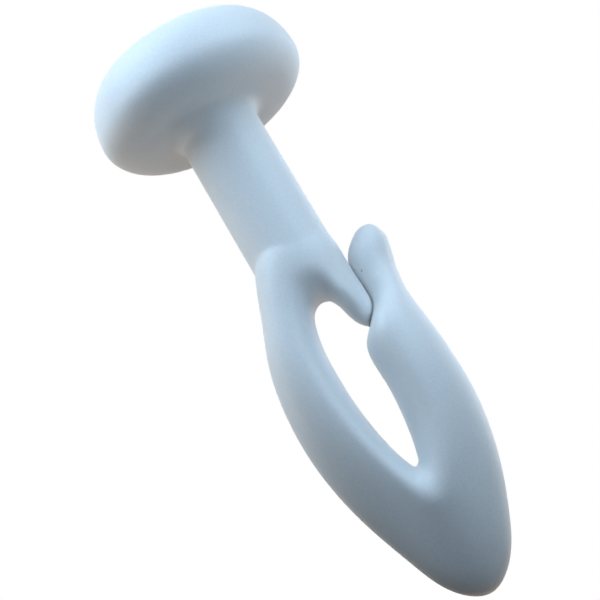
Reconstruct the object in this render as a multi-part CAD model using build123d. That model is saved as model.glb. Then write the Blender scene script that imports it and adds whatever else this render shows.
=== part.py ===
from build123d import *
import os

# A curtain glider moulded in one piece of white plastic, in millimetres.
# The origin is on the stem's axis at the underside of the head, where the head runs in its track.
# +Z goes up through the head, +X lies in the plane of the loop, towards the spring finger.

# Head and stem
head_d = 11.2          # the button that runs inside the track
head_h = 4.3           # underside to the top of the button
rim_h = 1.6            # underside up to the widest part of the rim
rim_r = 2.2            # how far in the lower rounding of the rim reaches
crest_r = 1.8          # how far in the upper rounding of the rim reaches
stem_d = 4.2           # the neck that passes the slot of the track
root_r = 0.7           # fillet where the neck meets the button

# Loop
neck_h = 10.9          # underside of the head down to the crown of the eye
eye_h = 9.48           # crown to the floor of the eye
eye_w = 1.85           # widest part of the eye
loop_w = 8.55          # widest part of the loop
loop_depth = 5.0       # thickest part of the loop, front to back
tip_drop = 6.87        # floor of the eye down to the tip

# Gate
nose_swell = 0.13      # how far the nose stands outside the line of the stem
gate_lean = 1.15       # how far the free finger sits behind the middle plane
finger_reach = 4.53    # stem axis to the outside of the finger

stem_r = stem_d / 2
half_w = loop_w / 2
half_eye = eye_w / 2
half_t = loop_depth / 2
nose_x = stem_r + nose_swell
crown_z = -neck_h
floor_z = crown_z - eye_h
ELLIPSE = 0.5523       # handle length that makes a cubic curve follow a quarter of an ellipse


def down(share):
    """Height at a share of the way from the crown of the eye to its floor."""
    return crown_z - share * eye_h


def below(share):
    """Height at a share of the way from the floor of the eye to the tip."""
    return floor_z - share * tip_drop


def section(inner, outer, thick, ridge, lean=0.0, tilt=0.0, swell=0.0):
    """Egg-shaped section between a point on the eye and a point on the outside of the loop.

    The ridge is the share of the way out at which it is given its thickness. A lean moves it back,
    a tilt slopes the ridge down towards the outside, and a swell makes the outside squarer.
    """
    start = Vector(inner[0], lean * gate_lean, inner[1])
    end = Vector(outer[0], lean * gate_lean, outer[1])
    along = end - start
    reach = Vector(0, thick * half_t, 0)
    front = start + along * ridge - reach
    back = start + along * ridge + reach
    rise = reach * ELLIPSE
    end_rise = rise * (1 - 0.5 * tilt)
    fore = along * ((1 - ridge) * ELLIPSE) + rise * tilt
    aft = along * ((1 - ridge) * ELLIPSE) - rise * tilt
    share = ridge / (1 - ridge)
    full = 1 + swell
    edges = [
        Bezier(start, start - rise, front - fore * share, front),
        Bezier(front, front + fore * full, end - end_rise * full, end),
        Bezier(end, end + end_rise * full, back + aft * full, back),
        Bezier(back, back - aft * share, start + rise, start),
    ]
    return Face(Wire(edges))


# Button and neck: one turned profile
rim_x = head_d / 2
low_x = rim_x - rim_r
top_x = rim_x - crest_r
foot_x = stem_r + root_r
crest_h = head_h - rim_h
bend = 1 - 2 ** -0.5
neck_z = down(0.07)
neck_profile = [
    Line((0, 0, head_h), (top_x, 0, head_h)),
    Bezier(
        (top_x, 0, head_h),
        (top_x + crest_r * ELLIPSE, 0, head_h),
        (rim_x, 0, rim_h + crest_h * ELLIPSE),
        (rim_x, 0, rim_h),
    ),
    Bezier(
        (rim_x, 0, rim_h),
        (rim_x, 0, rim_h * (1 - ELLIPSE)),
        (low_x + rim_r * ELLIPSE, 0, 0),
        (low_x, 0, 0),
    ),
    Line((low_x, 0, 0), (foot_x, 0, 0)),
    ThreePointArc((foot_x, 0, 0), (stem_r + root_r * bend, 0, -root_r * bend), (stem_r, 0, -root_r)),
    Line((stem_r, 0, -root_r), (stem_r, 0, neck_z)),
    Line((stem_r, 0, neck_z), (0, 0, neck_z)),
    Line((0, 0, neck_z), (0, 0, head_h)),
]
neck = revolve(Face(Wire(neck_profile)), Axis.Z)

# The neck is cut back behind the crown of the eye, inside the root of the loop,
# so that only its right side runs on into the nose
clearing = Wire.make_polygon(
    [
        Vector(-1.5 * stem_r, 0, down(-0.18)),
        Vector(0.05 * stem_r, 0, down(-0.18)),
        Vector(0.48 * stem_r, 0, down(-0.136)),
        Vector(0.65 * stem_r, 0, down(-0.024)),
        Vector(0.76 * stem_r, 0, down(0.08)),
        Vector(-1.5 * stem_r, 0, down(0.08)),
    ]
)
neck -= extrude(Face(clearing), amount=stem_d, dir=(0, 1, 0), both=True)

# Loop: one bent bar, from the nose over the crown, down the left arm, round the tip,
# up the right arm and into the free finger that closes the gate
left_eye = -1.13 * half_eye
right_eye = 0.86 * half_eye
nose = [
    section((0.62 * stem_r, down(0.227)), (0.92 * stem_r, down(0.219)), 0.25, 0.5, tilt=0.2),
    section((0.47 * stem_r, down(0.171)), (0.975 * nose_x, down(0.160)), 0.47, 0.5, tilt=0.35),
    section((0.35 * stem_r, down(0.073)), (nose_x, down(0.055)), 0.645, 0.45, tilt=0.45),
    section((0.26 * stem_r, down(0.027)), (0.98 * nose_x, down(-0.085)), 0.70, 0.40, tilt=0.3),
]
crown = [
    section((0.17 * stem_r, down(0.008)), (0.92 * stem_r, down(-0.34)), 0.765, 0.32, swell=0.1),
    section((0.02 * stem_r, down(0)), (0.05 * stem_r, down(-0.46)), 0.85, 0.32, tilt=-0.2, swell=0.15),
    section((-0.10 * stem_r, down(0.008)), (-0.64 * stem_r, down(-0.40)), 0.87, 0.33, tilt=-0.2, swell=0.15),
    section((-0.21 * stem_r, down(0.027)), (-1.07 * stem_r, down(-0.25)), 0.89, 0.35, tilt=-0.15, swell=0.15),
]
left_arm = [
    section((0.68 * left_eye, down(0.084)), (-0.71 * half_w, down(-0.025)), 0.92, 0.37, tilt=-0.1, swell=0.15),
    section((0.92 * left_eye, down(0.208)), (-0.845 * half_w, down(0.133)), 0.965, 0.38, tilt=-0.05, swell=0.1),
    section((left_eye, down(0.353)), (-0.95 * half_w, down(0.326)), 1.0, 0.37, swell=0.05),
    section((0.95 * left_eye, down(0.564)), (-0.995 * half_w, down(0.59)), 1.0, 0.34, tilt=0.1),
    section((0.68 * left_eye, down(0.783)), (-0.95 * half_w, down(0.85)), 0.96, 0.32, tilt=0.25),
]
tip = [
    section((0.39 * left_eye, down(0.912)), (-0.815 * half_w, below(0.16)), 0.91, 0.31, tilt=0.4),
    section((0.21 * left_eye, down(0.969)), (-0.58 * half_w, below(0.572)), 0.88, 0.32, tilt=0.6),
    section((0.10 * left_eye, down(0.992)), (-0.27 * half_w, below(0.915)), 0.86, 0.34, tilt=0.7),
    section((0.02 * half_eye, down(1)), (0.02 * half_w, below(1)), 0.86, 0.36, tilt=0.7),
    section((0.20 * right_eye, down(0.990)), (0.285 * half_w, below(0.92)), 0.86, 0.39, tilt=0.7),
    section((0.39 * right_eye, down(0.955)), (0.615 * half_w, below(0.61)), 0.88, 0.43, tilt=0.6),
    section((0.61 * right_eye, down(0.877)), (0.875 * half_w, below(0.173)), 0.91, 0.46, tilt=0.4),
]
right_arm = [
    section((0.85 * right_eye, down(0.748)), (0.995 * half_w, down(0.825)), 0.95, 0.46, tilt=0.2),
    section((right_eye, down(0.58)), (1.005 * half_w, down(0.632)), 0.98, 0.45, tilt=0.1),
    section((0.95 * right_eye, down(0.432)), (0.98 * half_w, down(0.422)), 0.97, 0.42),
]
gate = [
    section((1.15 * right_eye, down(0.333)), (0.947 * half_w, down(0.27)), 0.93, 0.42, 0.09),
    section((0.63 * stem_r, down(0.276)), (0.936 * half_w, down(0.187)), 0.84, 0.48, 0.27),
    section((0.84 * stem_r, down(0.208)), (0.895 * finger_reach, down(0.111)), 0.73, 0.52, 0.55),
    section((0.985 * stem_r, down(0.123)), (0.918 * finger_reach, down(0.024)), 0.635, 0.52, 0.82),
]
finger = [
    section((0.97 * stem_r, down(0.012)), (0.955 * finger_reach, down(-0.046)), 0.605, 0.5, 1),
    section((0.985 * stem_r, down(-0.086)), (finger_reach, down(-0.137)), 0.57, 0.5, 1),
    section((1.12 * stem_r, down(-0.165)), (1.004 * finger_reach, down(-0.179)), 0.505, 0.5, 1),
    section((1.335 * stem_r, down(-0.221)), (0.972 * finger_reach, down(-0.228)), 0.395, 0.5, 1),
    section((1.51 * stem_r, down(-0.252)), (0.922 * finger_reach, down(-0.261)), 0.24, 0.5, 1),
]
nose_end = section((0.70 * stem_r, down(0.2485)), (0.76 * stem_r, down(0.2475)), 0.055, 0.5)
finger_end = section((1.65 * stem_r, down(-0.271)), (0.852 * finger_reach, down(-0.2725)), 0.055, 0.5, 1)
bar = loft([nose_end] + nose + crown + left_arm + tip + right_arm + gate + finger + [finger_end])

glider = neck.solid().fuse(bar.solid(), tol=0.001)
glider.label = "glider"
os.makedirs("parts", exist_ok=True)
export_step(glider, "parts/glider.step")
print("solids", len(glider.solids()), "volume", round(glider.volume, 2), glider.bounding_box())
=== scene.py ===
# %% [markdown]
# A curtain glider is a small white plastic part that hangs in a curtain track. Its round head runs
# inside the track, its neck comes down through the slot, and the long loop below holds the curtain's
# hook. The CAD model already has its true shape, so this lesson keeps it as it is and gives it what
# CAD leaves out: a moulded plastic finish, the light, a floor and the camera.

import math

import bpy
import numpy as np
from mathutils import Matrix, Vector


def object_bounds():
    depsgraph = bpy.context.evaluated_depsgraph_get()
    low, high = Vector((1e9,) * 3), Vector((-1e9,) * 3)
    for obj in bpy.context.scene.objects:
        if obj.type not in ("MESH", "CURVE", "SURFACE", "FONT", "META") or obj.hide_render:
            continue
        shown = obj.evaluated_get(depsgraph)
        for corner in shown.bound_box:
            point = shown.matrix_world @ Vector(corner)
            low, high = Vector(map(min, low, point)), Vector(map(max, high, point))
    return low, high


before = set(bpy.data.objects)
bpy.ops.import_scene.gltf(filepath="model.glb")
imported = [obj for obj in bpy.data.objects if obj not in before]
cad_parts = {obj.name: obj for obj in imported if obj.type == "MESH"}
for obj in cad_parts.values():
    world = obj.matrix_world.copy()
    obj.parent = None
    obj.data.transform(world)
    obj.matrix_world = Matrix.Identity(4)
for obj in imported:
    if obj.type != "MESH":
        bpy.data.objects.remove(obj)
bpy.context.view_layer.update()
cad_low, cad_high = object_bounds()
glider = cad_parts["glider"]
length = cad_high.z - cad_low.z
millimetre = 0.001
print("the glider is", round(length / millimetre, 2), "mm long")

# %% [markdown]
# Blender builds a material from nodes. Joined by hand they are hard to read as text, so one small
# class wraps a socket. Numbers then follow ordinary Python operators, each of which adds a Math node,
# and every other kind of node comes from a single method. Settings are set before the sockets,
# because a setting can change which sockets a node has.

# %% A socket that can be calculated with


class Signal:
    """The output of one node, on its way through a material."""

    def __init__(self, tree, socket=None):
        self.tree = tree
        self.socket = socket

    def node(self, kind, settings, sockets, output=0):
        """Adds a node, sets it up, then fills its sockets with values or links."""
        made = self.tree.nodes.new(kind)
        for name, value in settings.items():
            setattr(made, name, value)
        for name, value in sockets.items():
            if isinstance(value, Signal):
                self.tree.links.new(value.socket, made.inputs[name])
            else:
                made.inputs[name].default_value = value
        return Signal(self.tree, made.outputs[output] if made.outputs else None)

    def math(self, operation, first, second):
        """Adds a Math node on two values."""
        return self.node("ShaderNodeMath", {"operation": operation}, {0: first, 1: second})

    def __add__(self, other):
        return self.math("ADD", self, other)

    def __radd__(self, other):
        return self.math("ADD", other, self)

    def __sub__(self, other):
        return self.math("SUBTRACT", self, other)

    def __rsub__(self, other):
        return self.math("SUBTRACT", other, self)

    def __mul__(self, other):
        return self.math("MULTIPLY", self, other)

    def __rmul__(self, other):
        return self.math("MULTIPLY", other, self)


def fresh_material(name):
    """An empty material and the signal that its nodes start from."""
    material = bpy.data.materials.new(name)
    material.use_nodes = True
    material.node_tree.nodes.clear()
    return material, Signal(material.node_tree)


print("a signal takes +, - and * from either side")

# %% [markdown]
# Moulded white plastic looks plain, but it is never one flat colour. The melt cools unevenly, which
# leaves faint cloudy shifts between a cooler and a warmer white, and the steel of the mould prints a
# very fine satin grain. Both are noise here, read from Object coordinates so that they stay put when
# the camera moves. The clouds are a few millimetres across and the grain is a fraction of one.

# %% Clouds and grain of the plastic
cloud_size = 4.5 * millimetre
grain_size = 0.11 * millimetre
plastic, start = fresh_material("white_plastic")
place = start.node("ShaderNodeTexCoord", {}, {}, output="Object")


def noise(size):
    """Even noise from 0 to 1 whose features are about this size, in metres."""
    return start.node("ShaderNodeTexNoise", {}, {"Vector": place, "Scale": 1 / size})


clouds = noise(cloud_size)
grain = noise(grain_size)
print("clouds and grain read", place.socket.name, "coordinates")

# %% [markdown]
# A single faint speck sits in the finger, where a grain of burnt plastic was caught in the moulding.
# It is a small soft-edged ball in space: wherever the surface passes through that ball it is darker.
# A Vector Math node measures the distance to its middle, and Map Range turns distance into a mask.

# %% The speck on the finger
speck_middle = Vector((2.56, -0.10, -10.64)) * millimetre
speck_core = 0.03 * millimetre
speck_edge = 0.08 * millimetre


def fade(where, middle, near, far, inside, outside):
    """Goes smoothly from one value to another as the distance from the middle goes from near to far."""
    distance = where.node(
        "ShaderNodeVectorMath", {"operation": "DISTANCE"}, {0: where, 1: middle}, output="Value"
    )
    return where.node(
        "ShaderNodeMapRange",
        {"interpolation_type": "SMOOTHSTEP"},
        {"Value": distance, "From Min": near, "From Max": far, "To Min": inside, "To Max": outside},
    )


speck = fade(place, speck_middle, speck_core, speck_edge, 1.0, 0.0)
print("speck", round(2 * speck_edge / millimetre, 2), "mm across")

# %% [markdown]
# The inside corners of a moulding are never sharp, because the tool that cuts the mould is round. The
# CAD solid meets in a crease where the bar of the loop runs into the neck, and a Bevel node rounds it:
# it blends the directions of all the surface within half a millimetre. The mesh itself isn't changed.
# The grain then goes on top as bump, far too fine to be seen as a shape.

# %% Soft corners and grain
corner_radius = 0.5 * millimetre
corner_samples = 8
grain_depth = 0.02 * millimetre
grain_strength = 0.35
rounded = start.node("ShaderNodeBevel", {"samples": corner_samples}, {"Radius": corner_radius})
relief = start.node(
    "ShaderNodeBump",
    {},
    {"Strength": grain_strength, "Distance": grain_depth, "Height": grain, "Normal": rounded},
)
print("corners rounded by", round(corner_radius / millimetre, 2), "mm")

# %% [markdown]
# Clouds and grain move the colour between two near whites. Noise has its middle at a half, so each one
# counts by how far it is from there, and the tone rests halfway between the whites. The shifts stay
# slight: if they can be seen at once they are too strong. A Mix node has sockets for every kind of
# value, and those for colours are known by number: 6 and 7 go in, and 2 comes out.

# %% The plastic's colour
cool_white = (0.815, 0.845, 0.865, 1.0)
warm_white = (0.91, 0.905, 0.89, 1.0)
speck_grey = (0.52, 0.52, 0.48, 1.0)
halfway = 0.5
cloud_share = 0.4
grain_share = 1.8


def blend(share, first, second):
    """A colour this share of the way from the first one to the second."""
    return start.node("ShaderNodeMix", {"data_type": "RGBA"}, {0: share, 6: first, 7: second}, output=2)


tone = halfway + cloud_share * (clouds - halfway) + grain_share * (grain - halfway)
white = blend(tone, cool_white, warm_white)
colour = blend(speck, white, speck_grey)
print("colour from", colour.socket.node.bl_label, "nodes")

# %% [markdown]
# One Principled shader carries the whole finish. Roughness near 0.4 gives the soft, wide highlights
# of a satin moulding, and the clouds move it a little. Subsurface light lets shadows and edges glow as
# real white plastic does, because light goes in and comes out again a little way off.

# %% The plastic's shader
sheen_roughness = 0.38
cloud_dulling = 0.1
light_depth = 0.7 * millimetre
skin = start.node(
    "ShaderNodeBsdfPrincipled",
    {},
    {
        "Base Color": colour,
        "Roughness": sheen_roughness + cloud_dulling * clouds,
        "IOR": 1.48,
        "Specular IOR Level": 0.4,
        "Subsurface Weight": 0.5,
        "Subsurface Radius": (1.0, 1.0, 1.0),
        "Subsurface Scale": light_depth,
        "Normal": relief,
    },
)
start.node("ShaderNodeOutputMaterial", {}, {"Surface": skin})
glider.data.materials.clear()
glider.data.materials.append(plastic)
print("white plastic has", len(plastic.node_tree.nodes), "nodes")

# %% [markdown]
# The glider hangs in the air, as it does under its track, so the floor lies well below it, out of this
# picture, and catches its soft shadow. It is a round sheet: rings of points whose radius grows with the
# square of the ring's number, round one middle point, worked out as arrays with no loop over points.

# %% The sheet of the floor
floor_gap = 93 * millimetre
floor_radius = 40 * length
ring_count = 12
spoke_count = 64
floor_z = cad_low.z - floor_gap
rings = np.linspace(0.0, 1.0, ring_count + 1)[1:] ** 2 * floor_radius
turns = np.linspace(0.0, 2 * math.pi, spoke_count + 1)[:-1]
radius, angle = np.meshgrid(rings, turns, indexing="ij")
heights = np.full_like(radius, floor_z)
ring_points = np.stack([radius * np.cos(angle), radius * np.sin(angle), heights], -1)
points = np.concatenate([[[0.0, 0.0, floor_z]], ring_points.reshape(-1, 3)])
index = 1 + np.arange(radius.size).reshape(radius.shape)
after = np.roll(index, -1, axis=1)
quads = np.stack([index[:-1], index[1:], after[1:], after[:-1]], -1).reshape(-1, 4)
fan = np.stack([np.zeros_like(index[0]), index[0], after[0]], -1)
floor_mesh = bpy.data.meshes.new("floor")
floor_mesh.from_pydata(points.tolist(), [], quads.tolist() + fan.tolist())
floor = bpy.data.objects.new("floor", floor_mesh)
bpy.context.scene.collection.objects.link(floor)
print("the floor is", round(floor_gap / millimetre), "mm under the tip")

# %% [markdown]
# The lamps will be too small and too near to the glider to light a floor, so the floor is also given a
# white of its own, whitest far away, where it meets the background. A Light Path node shows that white
# only to the camera, to mirrors and through glass, so that it throws no light on the glider. Add Shader
# keeps the matt paper under the white, and with it the shadow.

# %% White paper for the floor
paper_grey = (0.88, 0.88, 0.88, 1.0)
near_white = 0.8
far_white = 1.0
all_white_at = 0.6 * floor_radius
frame_origin = Vector((0, 0, 0))


def seen_directly(signal):
    """1 for rays from the camera, a mirror or glass, and 0 for the rays that carry light about."""
    camera, mirror, glass = [
        signal.node("ShaderNodeLightPath", {}, {}, output=name)
        for name in ("Is Camera Ray", "Is Glossy Ray", "Is Transmission Ray")
    ]
    return signal.math("MAXIMUM", signal.math("MAXIMUM", camera, mirror), glass)


paper, sheet = fresh_material("white_paper")
spot = sheet.node("ShaderNodeTexCoord", {}, {}, output="Object")
whiteness = fade(spot, frame_origin, floor_gap, all_white_at, near_white, far_white)
matt = sheet.node("ShaderNodeBsdfDiffuse", {}, {"Color": paper_grey})
glow = sheet.node("ShaderNodeEmission", {}, {"Color": whiteness, "Strength": 1.0})
lit_paper = sheet.node("ShaderNodeAddShader", {}, {0: matt, 1: glow})
either = sheet.node("ShaderNodeMixShader", {}, {0: seen_directly(sheet), 1: matt, 2: lit_paper})
sheet.node("ShaderNodeOutputMaterial", {}, {"Surface": either})
floor_mesh.materials.append(paper)
print("white paper has", len(paper.node_tree.nodes), "nodes")

# %% [markdown]
# The camera looks a little up at the glider, so that the underside of the head shows, and it is rolled
# so that the head leans to the left. Three directions fix it: the line back to the camera, and the
# picture's right and up, turned about that line. A long lens from close by gives the slight perspective
# of a small thing seen near to.

# %% The camera
rise = math.radians(-17)
lean = math.radians(30.3)
reach = 87 * millimetre
aim = Vector((-0.774, 0.0, -10.31)) * millimetre
back = Vector((0, -math.cos(rise), math.sin(rise)))
level_up = Vector((0, math.sin(rise), math.cos(rise)))
across = Vector((1, 0, 0))
right = across * math.cos(lean) - level_up * math.sin(lean)
up = across * math.sin(lean) + level_up * math.cos(lean)
lens = bpy.data.cameras.new("camera")
lens.sensor_width = 36
lens.lens = 106.2
lens.clip_start = 1 * millimetre
lens.clip_end = 10
camera = bpy.data.objects.new("camera", lens)
turned = Matrix((right, up, back)).transposed().to_4x4()
camera.matrix_world = Matrix.Translation(aim + back * reach) @ turned
bpy.context.scene.collection.objects.link(camera)
bpy.context.scene.camera = camera
print("camera at", [round(v / millimetre, 1) for v in camera.matrix_world.translation], "mm")

# %% [markdown]
# The light on such a small part is soft and uneven. It is cool and strongest from above, like a window,
# and it fades towards the tip, which stays blue-grey. A weak warm light from behind and below, like a
# lit wooden table, keeps the edges apart from the white background. Far lamps would light head and tip
# alike, so small soft lamps stand close by, as in a photographer's light tent. All face one point on the
# glider's axis. Each is given by its turn round that axis, from the front towards the finger, its rise
# above level and how far away it is. Three tints do for all: daylight, a white wall and wood.

# %% The lamps
lit_middle = Vector((0, 0, -8)) * millimetre
lamp_spread = 0.8
near_lamp = 22 * millimetre
middle_lamp = 30 * millimetre
far_lamp = 52 * millimetre
daylight = (0.6, 0.8, 1.0)
white_wall = (1.0, 0.97, 0.9)
wood = (1.0, 0.6, 0.3)


def lamp(name, turn, rise, away, power, tint):
    """A square soft lamp, with its distance in metres, angles in degrees and power in watts."""
    turn = math.radians(turn)
    rise = math.radians(rise)
    level = math.cos(rise)
    toward = Vector((level * math.sin(turn), -level * math.cos(turn), math.sin(rise)))
    light = bpy.data.lights.new(name, "AREA")
    light.size = lamp_spread * away
    light.energy = power
    light.color = tint
    made = bpy.data.objects.new(name, light)
    made.location = lit_middle + toward * away
    made.rotation_euler = toward.to_track_quat("Z", "Y").to_euler()
    made.visible_camera = False
    bpy.context.scene.collection.objects.link(made)
    return made


lamps = [
    lamp("window", 315, 55, far_lamp, 0.025, daylight),
    lamp("window_right", 60, 30, far_lamp, 0.0155, daylight),
    lamp("front_low", 30, -10, middle_lamp, 0.0024, daylight),
    lamp("back_right", 135, 5, far_lamp, 0.0064, daylight),
    lamp("side_left", 270, 10, near_lamp, 0.0012, white_wall),
    lamp("table_right", 120, -25, far_lamp, 0.0044, white_wall),
    lamp("table_back", 180, -60, far_lamp, 0.003, wood),
]
print("lamps:", ", ".join(made.name for made in lamps))

# %% [markdown]
# The world does two jobs. To the camera it is plain white paper, and so it is to anything that looks
# through or mirrors it. To every other ray it is a dim cool room that only fills the shadows. Light
# Path tells the two apart, so that the white behind the glider adds no light to it.

# %% The white background
room_tint = (0.8, 0.9, 1.0, 1.0)
room_strength = 0.02
plain_white = (1.0, 1.0, 1.0, 1.0)
room = bpy.data.worlds.new("room")
bpy.context.scene.world = room
room.use_nodes = True
room.node_tree.nodes.clear()
air = Signal(room.node_tree)
dim = air.node("ShaderNodeBackground", {}, {"Color": room_tint, "Strength": room_strength})
bright = air.node("ShaderNodeBackground", {}, {"Color": plain_white, "Strength": 1.0})
both = air.node("ShaderNodeMixShader", {}, {0: seen_directly(air), 1: dim, 2: bright})
air.node("ShaderNodeOutputWorld", {}, {"Surface": both})
bpy.context.scene.view_settings.view_transform = "Standard"
print("the room has", len(room.node_tree.nodes), "nodes")
